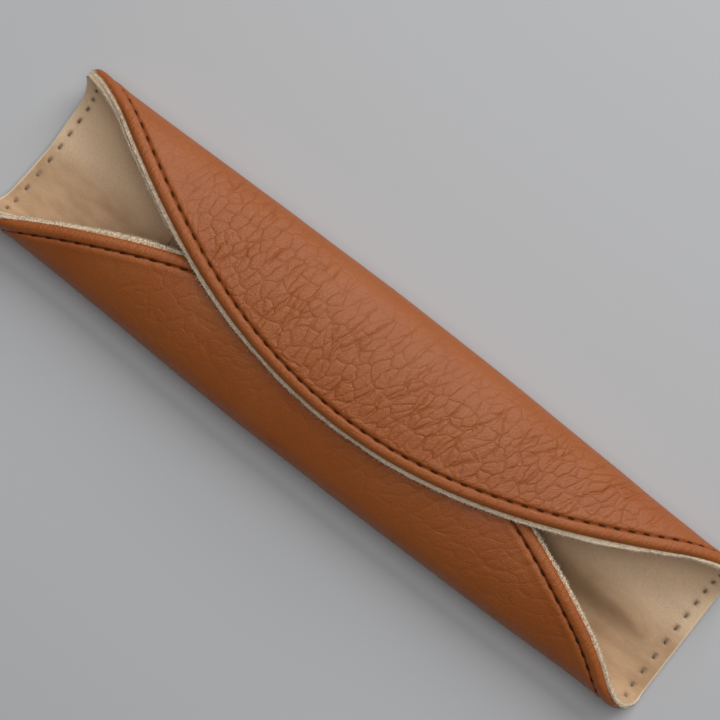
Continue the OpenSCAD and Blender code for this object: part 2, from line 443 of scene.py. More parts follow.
# Dents of the stitches: half length and half width, then their depth, and the depths of the
# uneven skin and of the creases next to them
LEATHER_DENT = (1.2, 0.4)
LEATHER_DENT_DEPTH = 0.2
UNREST_DEPTH = 0.04
PUCKER_DEPTH = 0.09

# The layers' hidden faces stand back by this much, so that they don't lie on each other
LEATHER_BACK_GAP = 0.02
SUEDE_BACK_GAP = 0.03

# Strength of the grain on the under half, as a share of the top half's
UNDER_RELIEF = 0.4


def leather_profile(from_edge):
    """Depth of the outer face by distance from the cut edge."""
    into_lip = np.clip(1 - from_edge / LIP_RADIUS, 0, 1)
    lip = (LEATHER_T - RIM) * (1 - np.sqrt(1 - into_lip**2))
    return lip + sum(depth * bell(from_edge - place, half) for depth, place, half in EDGE_RINGS)


def swell(x, s, side):
    """How far the whole wall stands inwards."""
    lifted = smoothstep(SWELL_FROM, SWELL_TO, s)
    return lifted * sum(depth * soft_noise(x, s, side, size, seed) for depth, size, seed in SWELLS)


def leather_rows(xs, side):
    """Girths of the outer face's points, from the middle of the base to the cut edge."""
    edge = edge_girth(xs, side)
    wider = row_spread(xs, edge)
    flat = section(xs, side)[0]
    inner = edge - EDGE_ROWS[0] * wider
    base = flat[:, None] * np.linspace(0, 1, BASE_ROWS, endpoint=False)
    base = np.concatenate([base[:, :1], base[:, :1] + SEAM_ROW, base[:, 1:]], 1)
    main = (inner - flat)[:, None] * np.linspace(0, 1, LEATHER_MAIN_ROWS, endpoint=False)
    rim = edge[:, None] - wider[:, None] * EDGE_ROWS
    return np.concatenate([base, flat[:, None] + main, rim], 1)


def relief_share(x, s, side, from_edge, height):
    """How strong the grain is, from 0 to 1: full next to the stitching, fading towards the side
    and the mouths, weaker on the under half and pressed flat underneath."""
    inland = from_edge + 3 * soft_noise(x, s, side, 12, 21)
    relief = at_least(0.22, smoothstep(30, 15, inland))
    relief = relief * at_least(0.3, smoothstep(-62, -40, x) * smoothstep(78, 50, x))
    relief = relief * at_least(0.15, smoothstep(8, 15, height))
    relief = relief * at_least(0.2, smoothstep(GROOVE, GROOVE + 1.2, from_edge))
    return relief * (1.0 if side == TOP else UNDER_RELIEF)


def leather_half(side):
    outline = OUTLINES[side]
    xs = stations(LEATHER_COLUMNS)
    face_s = leather_rows(xs, side)
    face_x = repeated(xs, face_s.shape[1])
    d = outline.distance(face_x, face_s)
    dents = stitch_dents(face_x, face_s, side, *LEATHER_DENT)
    unrest = UNREST_DEPTH * soft_noise(face_x, face_s, side, 0.9, 14) * bell(d - GROOVE, 1.2)
    puckers = unrest + PUCKER_DEPTH * stitch_puckers(face_x, face_s, side)
    face_deep = leather_profile(d) + LEATHER_DENT_DEPTH * dents + puckers
    back_s = edge_girth(xs, side)[:, None] * np.linspace(1, 0, LEATHER_BACK_ROWS)
    back_deep = np.full(back_s.shape, LEATHER_T - LEATHER_BACK_GAP)
    x = repeated(xs, face_s.shape[1] + LEATHER_BACK_ROWS)
    s = np.concatenate([face_s, back_s], 1)
    deep = np.concatenate([face_deep, back_deep], 1) + swell(x, s, side)
    points = skin(x, side, s, deep)
    made = add_mesh(f"{SIDE_NAMES[side]}_half_leather", points.reshape(-1, 3), loop_faces(*x.shape))
    from_edge = np.concatenate([d, np.zeros(back_s.shape)], 1)
    relief = relief_share(x, s, side, from_edge, points[..., 2])
    stand = smoothstep(0.4, 1.2, from_edge) * smoothstep(0.5, 3.0, points[..., 2])
    for share in (relief, stand):
        share[:, face_s.shape[1]:] = 0
    give(made, "flat", np.stack([x, side * s, np.zeros(x.shape)], -1))
    for name, values in (("from_edge", from_edge), ("along", outline.along(x)), ("relief", relief),
                         ("stand", stand)):
        give(made, name, values.ravel())
    return made


# Suede

LINING_COLUMNS = 420
LINING_ROWS = 100
RAW_EDGE_ROWS = 7
SUEDE_BACK_ROWS = 10
SUEDE_EDGE_ROWS = spread((5.0, GROOVE + 1.0, 3), (GROOVE + 1.0, GROOVE - 1.0, 8),
                         (GROOVE - 1.0, 0.2, 4))[:-1]

# The suede's dents of the stitches: half length and half width. Depths of the dents, and of the
# whole stitched row with its half width
SUEDE_DENT = (0.8, 0.62)
SUEDE_DENT_DEPTH = 0.42
ROW_DEPTH = 0.12
ROW_HALF_WIDTH = 0.8

# How far the raw edge rounds out and frays
EDGE_ROUND = 0.18
FRAY = 0.07

# The slack grows from nothing to full between these distances from the cut edge
LOOSE_FROM, LOOSE_TO = 0.2, 4.5

# The lining's folds where it bellies up: x and y of both ends of the crest, height, and half
# widths towards -Y, which is the steep side of the first, and towards +Y
FOLDS = [
    ((46, 0.6), (84, -3.7), 1.8, 2.6, 4.6),
    ((66, 8.5), (87, 6.5), 0.35, 2.0, 2.0),
    ((40, -9.5), (80, -8.0), 0.3, 2.2, 2.2),
]

# How far the crests stray from a straight line, and how wide the painted shade on the first fold's steep
# side is, as a share of that side
FOLD_WANDER = 0.8
FOLD_SHADE_WIDTH = 1.3


def fold_line(start, end, x):
    """Share of the way along a fold's crest, and the crest's y there."""
    share = (x - start[0]) / (end[0] - start[0])
    return share, start[1] + (end[1] - start[1]) * share


def slack(x, s, side):
    """How far the suede stands off into the channel: soft waves and a few long folds."""
    lifted = at_least(0.4, smoothstep(2, 8, s))
    waves = 0.5 + 0.5 * np.sin((x * 0.8 + side * s * 0.55) / 5.2 + 1.5 * soft_noise(x, s, side, 22, 2))
    found = lifted * (0.16 * waves + 0.14 * (1 + soft_noise(x, s, side, 14, 5)) / 2)
    for start, end, height, steep, easy in FOLDS:
        share, crest = fold_line(start, end, x)
        crest = crest + FOLD_WANDER * soft_noise(x, x * 0, TOP, 9, 12)
        reach = smoothstep(-0.15, 0.35, share) * smoothstep(1.05, 0.8, share)
        off = side * s - crest
        found = found + height * reach * bell(off, np.where(off < 0, steep, easy))
    return found


def loose(x, s, side, from_edge):
    """The slack that the stitches leave."""
    return slack(x, s, side) * smoothstep(LOOSE_FROM, LOOSE_TO, from_edge)


def painted_fold_shade(x, s, side):
    """Painted shade on the steep side of the first fold, which faces away from the key lamp: 0 to 1."""
    start, end, _, steep, _ = FOLDS[0]
    share, crest = fold_line(start, end, x)
    off = side * s - crest + steep
    reach = smoothstep(-0.2, 0.15, share) * smoothstep(0.95, 0.55, share)
    return reach * bell(off, FOLD_SHADE_WIDTH * steep) * (0.8 + 0.2 * soft_noise(x, s, side, 5, 31))


def suede_show(x, side):
    """How far the suede's raw edge stands out past the leather's."""
    uneven = 0.4 * soft_noise(x, x * 0, side, 19, 11 + side)
    return LINING_SHOW + LINING_MORE[side] + uneven + 0.12 * soft_noise(x, x * 0, side, 3.1, 4)


def suede_rows(xs, side, past):
    """Girths of the points of the face towards the channel, from the raw edge inwards."""
    edge = edge_girth(xs, side)
    wider = row_spread(xs, edge)
    inner = edge - SUEDE_EDGE_ROWS[0] * wider
    main = inner[:, None] * np.linspace(1, 0, LINING_ROWS)
    main = np.concatenate([main[:, :-1], main[:, -1:] + SEAM_ROW, main[:, -1:]], 1)
    rim = edge[:, None] - wider[:, None] * SUEDE_EDGE_ROWS[:0:-1]
    return np.concatenate([past[:, None], rim, main], 1)


def suede_half(name, side, to_x, deep, thick, overhang, more):
    """A suede layer from the mouth at -X to to_x: its hidden face, its raw edge and the face
    towards the channel."""
    outline = OUTLINES[side]
    xs = np.unique(np.minimum(stations(LINING_COLUMNS), to_x))
    edge = edge_girth(xs, side)
    past = edge + suede_show(xs, side) + more
    face_s = suede_rows(xs, side, past)
    face_x = repeated(xs, face_s.shape[1])
    d = outline.distance(face_x, np.minimum(face_s, edge[:, None]))
    dents = stitch_dents(face_x, face_s, side, *SUEDE_DENT)
    pressed = ROW_DEPTH * bell(d - STITCH_MARGIN, ROW_HALF_WIDTH) + SUEDE_DENT_DEPTH * dents
    face_deep = deep + thick + loose(face_x, face_s, side, d) - pressed
    turn = np.repeat(np.linspace(0, math.pi, RAW_EDGE_ROWS)[None, :], len(xs), 0)
    fray = FRAY * soft_noise(repeated(xs, RAW_EDGE_ROWS), turn * 0.3, side, 0.45, 1)
    raw_s = past[:, None] + (EDGE_ROUND + fray) * np.sin(turn)
    raw_deep = deep + SUEDE_BACK_GAP + thick * (1 - np.cos(turn)) / 2
    back_s = past[:, None] * np.linspace(0, 1, SUEDE_BACK_ROWS, endpoint=False)
    back_x = repeated(xs, SUEDE_BACK_ROWS)
    back_deep = np.full(back_s.shape, deep + SUEDE_BACK_GAP)
    if deep > LEATHER_T:
        # The facing lies on the slack lining
        back_deep = back_deep + loose(back_x, back_s, side, outline.distance(back_x, back_s))
    s = np.concatenate([back_s, raw_s, face_s], 1)
    x = repeated(xs, s.shape[1])
    all_deep = np.concatenate([back_deep, raw_deep, face_deep], 1) + swell(x, s, side)
    x = x * np.where(np.abs(x) > HALF_LENGTH - 0.01, 1 + overhang / HALF_LENGTH, 1)
    points = skin(x, side, s, all_deep).reshape(-1, 3)
    made = add_mesh(name, points, loop_faces(*x.shape))
    hidden = np.zeros((len(xs), SUEDE_BACK_ROWS + RAW_EDGE_ROWS))
    give(made, "flat", np.stack([x, side * s, all_deep], -1))
    give(made, "from_edge", np.concatenate([hidden, d], 1).ravel())
    give(made, "dents", np.concatenate([hidden, dents], 1).ravel())
    # The painted shade on the first fold's steep side
    give(made, "painted_fold_shade", painted_fold_shade(x, s, side).ravel())
    return made


# Thread

RING_POINTS = 9
STITCH_RINGS = 15
PLIES = 3

# A stitch: half length, thickness as a share of the thread's, depth of its middle from the face
# that it lies on, how much deeper its ends go, and which way it leans. Depths count from the
# outside inwards
OUTSIDE = (1.08, 0.7, 0.3, 0.85, 1)
INSIDE = (0.5, 0.95, -0.22, -0.5, -1)


def strand_points(side, stitch, number, strand):
    """The rings of one stitch: an arch of plied thread, with its ends drawn into the sheet."""
    cx, cs, dx, ds = stitch
    long, thick, middle, plunge, lean = strand
    t = np.linspace(-1, 1, STITCH_RINGS)
    tilt = (0.2 + 0.08 * math.sin(number * 3.3)) * lean
    half = long + 0.09 * math.sin(number * 2.4)
    x = cx + (dx - tilt * ds) * t * half
    s = cs + (ds + tilt * dx) * t * half
    inner_face = FACED_T if cx < FACING_END else LINED_T
    face = inner_face if strand == INSIDE else 0
    deep = face + middle + plunge * np.abs(t) ** 2.6
    line = skin(x, side, s, deep + swell(x, s, side))
    out = skin(x, side, s, deep - 0.5) - skin(x, side, s, deep + 0.5)
    out /= np.linalg.norm(out, axis=1)[:, None]
    ahead = np.gradient(line, axis=0)
    ahead /= np.linalg.norm(ahead, axis=1)[:, None]
    across = np.cross(ahead, out)
    across /= np.linalg.norm(across, axis=1)[:, None]
    out = np.cross(across, ahead)
    around = np.linspace(0, 2 * math.pi, RING_POINTS, endpoint=False)[None, :]
    plies = 1 + 0.13 * np.cos(PLIES * (around - 2.2 * t[:, None] + number))
    radius = THREAD_D / 2 * thick * plies * (1 - 0.3 * np.abs(t[:, None]) ** 4)
    ring = (line[:, None, :] + (radius * np.cos(around))[:, :, None] * across[:, None, :]
            + (radius * np.sin(around))[:, :, None] * out[:, None, :])
    return ring.reshape(-1, 3)


def thread_mesh(name, side, row, strand):
    """The stitches of a row on one face of the sheet, as separate strands."""
    points = [strand_points(side, stitch, number, strand) for number, stitch in enumerate(row)]
    one = loop_faces(STITCH_RINGS, RING_POINTS)
    step = STITCH_RINGS * RING_POINTS
    faces = [tuple(number * step + k for k in face) for number in range(len(row)) for face in one]
    return add_mesh(name, np.concatenate(points), faces)


# Nap: short fibres along the suede's raw edges

FIBRES_PER_MM = 34
TUFT_SHARE = 0.8
TUFT_LENGTHS = (0.1, 0.28)
STRAY_LENGTHS = (0.2, 0.7)
TUFT_WIDTHS = (0.05, 0.1)
STRAY_WIDTHS = (0.018, 0.034)

# A fibre's three rings of three points: place along it and share of its width, and then how much
# paler each ring is
FIBRE_RINGS = ((-0.4, 0.9), (0.55, 1.0), (1.0, 0.35))
FIBRE_TONES = (0.0, 0.25, 0.4)

# A fibre's faces: its six sides, its tip and its root
FIBRE_FACES = loop_faces(3, 3)[:-2] + [(6, 7, 8), (2, 1, 0)]


def fibre_mesh(name, side, roots, rng):
    """Fibres from rows of [x, s, depth, way along x, along s, inwards]: short tufts and fine
    strays."""
    count = len(roots)
    tuft = rng.uniform(0, 1, count) < TUFT_SHARE
    length = np.where(tuft, rng.uniform(*TUFT_LENGTHS, count), rng.uniform(*STRAY_LENGTHS, count))
    wide = np.where(tuft, rng.uniform(*TUFT_WIDTHS, count), rng.uniform(*STRAY_WIDTHS, count))
    stray = rng.normal(0, 0.45, (count, 2))
    curl = rng.normal(0, 0.3, (count, 2))
    deepen = roots[:, 5] + rng.normal(0, 0.35, count)
    spin = rng.uniform(0, 2 * math.pi, count)
    rings = []
    for t, taper in FIBRE_RINGS:
        way = roots[:, 3:5] + stray * 0.5 + curl * t
        x = roots[:, 0] + way[:, 0] * length * t
        s = roots[:, 1] + way[:, 1] * length * t
        deep = roots[:, 2] + deepen * length * t
        centre = skin(x, side, s, deep)
        turn = spin[:, None] + np.arange(3) * 2 * math.pi / 3
        circle = np.stack([np.cos(turn), np.sin(turn), np.sin(turn + 1.1)], -1)
        rings.append(centre[:, None, :] + circle * (wide * taper)[:, None, None])
    faces = [tuple(number * 9 + k for k in face) for number in range(count) for face in FIBRE_FACES]
    made = add_mesh(name, np.stack(rings, 1).reshape(-1, 3), faces)
    tone = rng.uniform(0, 0.6, count)[:, None] + np.repeat(FIBRE_TONES, 3)[None, :]
    give(made, "tone", tone.ravel())
    return made


def fibre_roots(side, rng):
    """Roots along a half's long edge and both of its mouths, for the lining and the facing. On the
    long edge they cover the strip that shows outside the leather and then the cut face."""
    outline = OUTLINES[side]
    rows = []
    # End of the layer, its depth and thickness, how much more of it shows, its share of fibres,
    # and 0 where its strip shows or 1 for its cut face alone
    lining = (HALF_LENGTH, LEATHER_T, LINING_T, 0, 1, 0)
    facing = (FACING_END, LINED_T, FACING_T, FACING_MORE[side], 0.5, 1)
    for to_x, deep, thick, more, density, lowest in (lining, facing):
        length = outline.along(to_x)
        count = int(length * FIBRES_PER_MM * density)
        run = rng.uniform(0, length, count)
        x = np.interp(run, outline.run, outline.x)
        place = rng.uniform(lowest, 2, count)
        on_strip = np.minimum(place, 1)
        on_face = np.maximum(place - 1, 0)
        s = edge_girth(x, side) + (suede_show(x, side) + more) * on_strip + 0.1 * (place > 1)
        outwards = np.where(place < 1, 0.5, 1.0)
        inwards = np.where(place < 1, -0.8, 0.5 * (on_face - 0.5))
        rows.append(np.stack([x, s, deep + 0.02 + on_face * thick, 0 * x, outwards, inwards], -1))
    for end in (LEFT, RIGHT):
        thick = LINING_T + (FACING_T if end == LEFT else 0)
        top = float(edge_girth(end * HALF_LENGTH, side))
        count = int(top * FIBRES_PER_MM / 4)
        s = rng.uniform(0, top, count)
        x = np.full(count, end * (HALF_LENGTH + 0.02))
        deep = LEATHER_T + rng.uniform(0.1, 0.95, count) * thick
        rows.append(np.stack([x, s, deep, 0 * x + end, 0 * x, 0 * x], -1))
    return np.concatenate(rows)


# Materials

class Graph:
    """Short ways to add nodes to a shader or geometry tree."""

    def __init__(self, tree):
        self.tree = tree

    def put(self, socket, value):
        if isinstance(value, bpy.types.NodeSocket):
            self.tree.links.new(value, socket)
        elif value is not None:
            socket.default_value = value

    def node(self, kind, **settings):
        made = self.tree.nodes.new(kind)
        for key, value in settings.items():
            setattr(made, key, value)
        return made

    def math(self, operation, a, b=None, c=None):
        made = self.node("ShaderNodeMath", operation=operation)
        for socket, value in zip(made.inputs, (a, b, c)):
            self.put(socket, value)
        return made.outputs[0]

    def times(self, a, b):
        return self.math("MULTIPLY", a, b)

    def vector(self, operation, a, b=None, scale=None):
        made = self.node("ShaderNodeVectorMath", operation=operation)
        self.put(made.inputs[0], a)
        self.put(made.inputs[1], b)
        if scale is not None:
            self.put(made.inputs["Scale"], scale)
        return made.outputs[0]

    def combine(self, x, y):
        made = self.node("ShaderNodeCombineXYZ")
        self.put(made.inputs[0], x)
        self.put(made.inputs[1], y)
        return made.outputs[0]

    def separate(self, vector):
        made = self.node("ShaderNodeSeparateXYZ")
        self.put(made.inputs[0], vector)
        return made.outputs

    def remap(self, value, low, high, to_low=0.0, to_high=1.0, smooth=True):
        made = self.node("ShaderNodeMapRange", interpolation_type="SMOOTHSTEP" if smooth else "LINEAR")
        for socket, given in zip(made.inputs, (value, low, high, to_low, to_high)):
            self.put(socket, given)
        return made.outputs[0]

    def near_zero(self, value, reach):
        """1 where the value is 0, fading to 0 where it comes to reach."""
        return self.remap(value, 0.0, reach, 1.0, 0.0)

    def noise(self, vector, scale, detail=2.0, roughness=0.5, colour=False):
        made = self.node("ShaderNodeTexNoise", noise_dimensions="3D")
        self.put(made.inputs["Vector"], vector)
        self.put(made.inputs["Scale"], scale)
        self.put(made.inputs["Detail"], detail)
        self.put(made.inputs["Roughness"], roughness)
        return made.outputs[1 if colour else 0]

    def shift(self, vector, scale, detail, roughness):
        """A noise vector that is as often negative as positive."""
        middle = (0.5, 0.5, 0.5)
        return self.vector("SUBTRACT", self.noise(vector, scale, detail, roughness, colour=True), middle)

    def cell_edges(self, vector, scale, randomness):
        """Distance from the edges of cells, in cells."""
        made = self.node("ShaderNodeTexVoronoi", voronoi_dimensions="2D", feature="DISTANCE_TO_EDGE")
        self.put(made.inputs["Vector"], self.vector("MULTIPLY", vector, scale))
        self.put(made.inputs["Scale"], 1.0)
        self.put(made.inputs["Randomness"], randomness)
        return made.outputs["Distance"]

    def mix(self, factor, a, b):
        made = self.node("ShaderNodeMix", data_type="RGBA")
        self.put(made.inputs[0], factor)
        self.put(made.inputs[6], a)
        self.put(made.inputs[7], b)
        return made.outputs[2]

    def attribute(self, name, output="Fac"):
        made = self.node("ShaderNodeAttribute", attribute_type="GEOMETRY", attribute_name=name)
        return made.outputs[output]

    def stored(self, name, kind="FLOAT"):
        """An attribute in a geometry tree."""
        made = self.node("GeometryNodeInputNamedAttribute", data_type=kind)
        made.inputs["Name"].default_value = name
        return made.outputs["Attribute"]

    def bump(self, height, distance):
        made = self.node("ShaderNodeBump")
        self.put(made.inputs["Height"], height)
        made.inputs["Distance"].default_value = distance
        made.inputs["Strength"].default_value = 1.0
        return made.outputs[0]


# Grain: its lean and how that changes along the sleeve, and how far noise bends its lines
LEAN = 0.3
LEAN_CHANGE = 0.004
BROAD_BEND = 4.5
CLOSE_BEND = 1.6

# Long creases, pebbles between them and small creases on those: cells per millimetre along and
# across the sleeve. A line is how far into a cell its crease reaches, and a dome how far the
# cell rises from it, both in cells. Heights and depths are in millimetres.
LONG_CELLS = (0.2, 0.06, 1.0)
LONG_LINE = 0.045
LONG_SLOPE = 0.15
LONG_DEPTH = 0.085
PEBBLES = (0.36, 0.26, 1.0)
PEBBLE_LINE = 0.07
PEBBLE_SHARE = 0.85
PEBBLE_DOME = 0.2
PEBBLE_HEIGHT = 0.05
SMALL_CELLS = (1.15, 0.85, 1.0)
SMALL_LINE = 0.12
SMALL_SHARE = 0.3
SMALL_DOME = 0.35
SMALL_HEIGHT = 0.018
CREASE_DEPTH = 0.065


def grain(graph, flat):
    """The leather's relief from its place on the flat pattern: its height in millimetres, and
    where its creases are, from 0 to 1."""
    x, y = graph.separate(flat)[:2]
    lean = graph.math("MULTIPLY_ADD", x, LEAN_CHANGE, LEAN)
    leant = graph.combine(graph.math("MULTIPLY_ADD", lean, y, x), y)
    broad = graph.shift(flat, 0.08, 1.0, 0.5)
    close = graph.shift(flat, 0.45, 3.0, 0.6)
    bent = graph.vector("ADD", leant, graph.vector("SCALE", broad, scale=BROAD_BEND))
    bent = graph.vector("ADD", bent, graph.vector("SCALE", close, scale=CLOSE_BEND))
    long_cells = graph.cell_edges(bent, LONG_CELLS, 1.0)
    pebbles = graph.cell_edges(bent, PEBBLES, 0.9)
    small_cells = graph.cell_edges(bent, SMALL_CELLS, 1.0)
    # Creases come and go from patch to patch
    patches = graph.remap(graph.noise(flat, 0.35, 2.0), 0.36, 0.56, 0.5, 1.0)
    elsewhere = graph.vector("ADD", flat, (31.0, 7.0, 0.0))
    lasting = graph.remap(graph.noise(elsewhere, 0.1, 1.0), 0.38, 0.58)
    long_line = graph.times(graph.near_zero(long_cells, LONG_LINE), lasting)
    line = graph.times(graph.times(graph.near_zero(pebbles, PEBBLE_LINE), patches), PEBBLE_SHARE)
    small_line = graph.times(graph.near_zero(small_cells, SMALL_LINE), SMALL_SHARE)
    creases = graph.math("MAXIMUM", graph.math("MAXIMUM", line, small_line), long_line)
    slope = graph.times(graph.near_zero(long_cells, LONG_SLOPE), lasting)
    domes = graph.times(graph.remap(pebbles, 0.0, PEBBLE_DOME), PEBBLE_HEIGHT)
    small_domes = graph.times(graph.remap(small_cells, 0.0, SMALL_DOME), SMALL_HEIGHT)
    height = graph.math("ADD", domes, small_domes)
    height = graph.math("SUBTRACT", height, graph.times(creases, CREASE_DEPTH))
    height = graph.math("SUBTRACT", height, graph.times(slope, LONG_DEPTH))
    return height, creases


LEATHER_COLOUR = (0.385, 0.09, 0.005, 1)
LEATHER_DARK = (0.15, 0.028, 0.004, 1)
LEATHER_PALE = (0.4, 0.102, 0.009, 1)
LEATHER_ROUGH = (0.46, 0.62)
# Darker creases: partly their own darker tone, partly painted shade
CREASE_PAINTED_SHADE = 0.32
PORE_DARKNESS = 0.2
# Darker stitch groove: partly the groove's own darker tone, partly painted shade
GROOVE_TONE_AND_SHADE = 0.92
PORE_DEPTH = 0.13
WRINKLE_DEPTH = 0.32
SUEDE_COLOUR = (0.64, 0.42, 0.25, 1)
SUEDE_DARK = (0.52, 0.325, 0.184, 1)
# Painted light on the top flap's half of the suede
SUEDE_PAINTED_LIGHT = (0.88, 0.64, 0.42, 1)
# Painted shade on the first fold's steep side
SUEDE_PAINTED_FOLD_SHADE = (0.19, 0.112, 0.056, 1)
SUEDE_CUT = (0.84, 0.68, 0.49, 1)
# Painted shade in the suede's stitch dents
SUEDE_DENT_SHADE = (0.27, 0.18, 0.115, 1)
SUEDE_SHEEN_TINT = (1.0, 0.84, 0.64, 1)
NAP_DEPTH = 0.12
NAP_COLOUR = (0.97, 0.85, 0.67, 1)
THREAD_COLOUR = (0.035, 0.013, 0.007, 1)
THREAD_PALE = (0.05, 0.018, 0.009, 1)
INNER_THREAD_COLOUR = (0.24, 0.17, 0.11, 1)
INNER_THREAD_PALE = (0.36, 0.27, 0.18, 1)
NICKEL_DARK = (0.5, 0.5, 0.52, 1)
NICKEL_PALE = (0.62, 0.61, 0.6, 1)
FLOOR_COLOUR = (0.55, 0.555, 0.565, 1)
WORLD_COLOUR = (0.05, 0.051, 0.053, 1)


def shader(name, roughness, specular, sheen=0.0):
    """A new material: (material, graph, its Principled shader)."""
    material = bpy.data.materials.new(name)
    material.use_nodes = True
    principled = material.node_tree.nodes["Principled BSDF"]
    principled.inputs["Roughness"].default_value = roughness
    principled.inputs["Specular IOR Level"].default_value = specular
    principled.inputs["Sheen Weight"].default_value = sheen
    return material, Graph(material.node_tree), principled


def leather_material():
    material, graph, principled = shader("tan_leather", 0.5, 0.62)
    flat = graph.attribute("flat", "Vector")
    relief = graph.attribute("relief")
    from_edge = graph.attribute("from_edge")
    height, creases = grain(graph, flat)
    pores = graph.noise(flat, 3.2, 3.0, 0.65)
    mottle = graph.noise(flat, 0.07, 3.0, 0.55)
    colour = graph.mix(graph.remap(mottle, 0.3, 0.7), LEATHER_COLOUR, LEATHER_PALE)
    # Darker in the creases: partly their own darker tone, partly painted shade
    colour = graph.mix(graph.times(graph.times(creases, relief), CREASE_PAINTED_SHADE), colour, LEATHER_DARK)
    colour = graph.mix(graph.times(graph.remap(pores, 0.4, 0.7), PORE_DARKNESS), colour, LEATHER_DARK)
    # Darker along the stitch groove: partly the groove's own darker tone, partly painted shade
    off_groove = graph.math("ABSOLUTE", graph.math("SUBTRACT", from_edge, GROOVE))
    groove = graph.remap(off_groove, 0.05, 0.26, GROOVE_TONE_AND_SHADE, 0.0)
    graph.put(principled.inputs["Base Color"], graph.mix(groove, colour, LEATHER_DARK))
    rough = graph.remap(creases, 0.0, 1.0, *LEATHER_ROUGH, smooth=False)
    graph.put(principled.inputs["Roughness"], rough)
    # Small wrinkles across the rolled band, where the leather is turned round its edge
    along = graph.times(graph.attribute("along"), 1.1)
    wrinkles = graph.noise(graph.combine(along, graph.times(from_edge, 0.35)), 1.0, 3.0, 0.6)
    on_band = graph.remap(from_edge, GROOVE, GROOVE - 0.6)
    wrinkled = graph.times(graph.times(wrinkles, on_band), WRINKLE_DEPTH)
    fine = graph.math("ADD", graph.times(height, relief), graph.times(pores, PORE_DEPTH))
    fine = graph.math("ADD", fine, wrinkled)
    graph.put(principled.inputs["Normal"], graph.bump(fine, MM))
    return material


def suede_material():
    material, graph, principled = shader("suede", 0.92, 0.12, 0.8)
    principled.inputs["Sheen Roughness"].default_value = 0.5
    principled.inputs["Sheen Tint"].default_value = SUEDE_SHEEN_TINT
    flat = graph.attribute("flat", "Vector")
    nap = graph.noise(flat, 2.6, 4.0, 0.65)
    strokes = graph.noise(graph.vector("MULTIPLY", flat, (0.12, 0.3, 1.0)), 1.0, 3.0, 0.6)
    colour = graph.mix(graph.remap(strokes, 0.3, 0.7), SUEDE_DARK, SUEDE_COLOUR)
    # Painted light: the suede is painted paler on the top flap's half, towards +Y, to lift the shade
    # under the top flap
    colour = graph.mix(graph.remap(graph.separate(flat)[1], -3.0, 5.0), colour, SUEDE_PAINTED_LIGHT)
    colour = graph.mix(graph.times(graph.remap(nap, 0.4, 0.65), 0.25), colour, SUEDE_DARK)
    # Painted shade on the steep side of the first fold, which faces away from the key lamp
    colour = graph.mix(graph.times(graph.attribute("painted_fold_shade"), 0.8), colour, SUEDE_PAINTED_FOLD_SHADE)
    colour = graph.mix(graph.near_zero(graph.attribute("from_edge"), 0.35), colour, SUEDE_CUT)
    # Painted shade in the stitches' dents in the suede
    colour = graph.mix(graph.times(graph.attribute("dents"), 0.6), colour, SUEDE_DENT_SHADE)
    graph.put(principled.inputs["Base Color"], colour)
    graph.put(principled.inputs["Normal"], graph.bump(nap, MM * NAP_DEPTH))
    return material


def fibre_material():
    material, graph, principled = shader("suede_nap", 0.9, 0.1, 0.2)
    tone = graph.attribute("tone")
    graph.put(principled.inputs["Base Color"], graph.mix(tone, SUEDE_DARK, NAP_COLOUR))
    return material


def thread_material(name, colour, pale):
    material, graph, principled = shader(name, 0.8, 0.15)
    place = graph.node("ShaderNodeTexCoord").outputs["Object"]
    wax = graph.remap(graph.noise(place, 900.0, 2.0), 0.35, 0.75)
    graph.put(principled.inputs["Base Color"], graph.mix(wax, colour, pale))
    return material


def magnet_material():
    material, graph, principled = shader("nickel", 0.3, 0.5)
    principled.inputs["Metallic"].default_value = 1.0
    place = graph.node("ShaderNodeTexCoord").outputs["Object"]
    scuffs = graph.noise(place, 1200.0, 3.0)
    graph.put(principled.inputs["Base Color"], graph.mix(scuffs, NICKEL_DARK, NICKEL_PALE))
    return material


def relief_modifier(made):
    """Raises the leather's grain in the mesh itself, by the same nodes as its material."""
    tree = bpy.data.node_groups.new("leather_relief", "GeometryNodeTree")
    for way in ("INPUT", "OUTPUT"):
        tree.interface.new_socket("Geometry", in_out=way, socket_type="NodeSocketGeometry")
    graph = Graph(tree)
    start = graph.node("NodeGroupInput")
    end = graph.node("NodeGroupOutput")
    height = grain(graph, graph.stored("flat", "FLOAT_VECTOR"))[0]
    height = graph.times(height, graph.stored("relief"))
    height = graph.times(height, graph.stored("stand"))
    normal = graph.node("GeometryNodeInputNormal").outputs[0]
    raised = graph.vector("SCALE", normal, scale=graph.times(height, MM))
    move = graph.node("GeometryNodeSetPosition")
    graph.put(move.inputs["Geometry"], start.outputs[0])
    graph.put(move.inputs["Offset"], raised)
    graph.put(end.inputs[0], move.outputs[0])
    modifier = made.modifiers.new("relief", "NODES")
    modifier.node_group = tree
    settled = made.evaluated_get(bpy.context.evaluated_depsgraph_get())
    mesh = bpy.data.meshes.new_from_object(settled)
    made.modifiers.remove(modifier)
    made.data = mesh


# Camera, light and floor

CAMERA_PLACE = (-0.0047, 0.0053, 0.38)
CAMERA_TURN = 38
LENS = 87.03
SENSOR_WIDTH = 36
CLIP_START = 0.01
LAMP_SIZE = 0.6
LAMP_AIM = Vector((0, 0, 0.01))
FLOOR_REACH = 2.0


def make_camera():
    data = bpy.data.cameras.new("camera")
    data.lens = LENS
    data.sensor_width = SENSOR_WIDTH
    data.clip_start = CLIP_START
    camera = bpy.data.objects.new("camera", data)
    camera.location = CAMERA_PLACE
    camera.rotation_euler = (0, 0, math.radians(CAMERA_TURN))
    bpy.context.scene.collection.objects.link(camera)
    bpy.context.scene.camera = camera


def make_lamp(name, power, place):
    data = bpy.data.lights.new(name, "AREA")
    data.size = LAMP_SIZE
    data.energy = power
    lamp = bpy.data.objects.new(name, data)
    lamp.location = place
    lamp.rotation_euler = (Vector(place) - LAMP_AIM).to_track_quat("Z", "Y").to_euler()
    bpy.context.scene.collection.objects.link(lamp)


